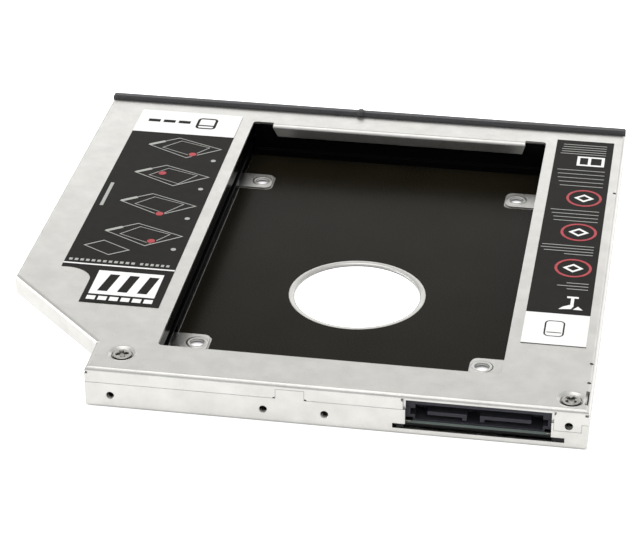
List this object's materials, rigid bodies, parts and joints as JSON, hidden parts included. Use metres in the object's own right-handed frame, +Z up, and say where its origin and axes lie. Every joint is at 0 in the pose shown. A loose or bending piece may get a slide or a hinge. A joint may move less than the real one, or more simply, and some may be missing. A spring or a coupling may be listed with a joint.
{
  "type": "laptop drive caddy",
  "caption": "Slim drive caddy: pressed metal tray and cover with an open well for a 2.5 inch drive, a rear plug and a front bezel.",
  "frame": {"origin": "centre of the underside, with the bezel counted in the depth", "axes": "+Z up out of the open well, +Y towards the front bezel, +X to the right seen from the plug at the rear"},
  "size_m": [0.128, 0.1274, 0.0109],
  "materials": {
    "pressed_aluminium": "satin pressed sheet, faintly mottled",
    "plated_steel": "zinc plated",
    "insulating_film": "smooth black polyester film",
    "moulded_black": "fine moulded grain",
    "connector_black": "moulded glass filled nylon",
    "circuit_board": "green solder mask",
    "ceramic_chip": "fired ceramic with tinned ends",
    "gold_contact": "gold flashed",
    "label_dark": "semi gloss vinyl",
    "print_white": "white ink",
    "print_red": "red ink"
  },
  "bodies": {
    "root": {"base_tray": "pressed_aluminium", "top_cover": "pressed_aluminium", "cover_posts": "plated_steel", "cover_screws": "plated_steel", "insulating_film": "insulating_film", "left_rail": "moulded_black", "right_rail": "moulded_black", "front_stop": "moulded_black", "adapter_board": "circuit_board", "board_screws": "plated_steel", "chip_capacitors": "ceramic_chip", "plug_housing": "connector_black", "plug_signal_contacts": "gold_contact", "plug_power_contacts": "gold_contact", "plug_board_locks": "plated_steel", "socket_housing": "connector_black", "socket_signal_contacts": "gold_contact", "socket_power_contacts": "gold_contact", "socket_board_locks": "plated_steel", "front_bezel": "moulded_black", "left_label": "label_dark", "left_label_print": "print_white", "left_label_marks": "print_red", "right_label": "label_dark", "right_label_print": "print_white", "right_label_rings": "print_red"}
  },
  "joints": []
}
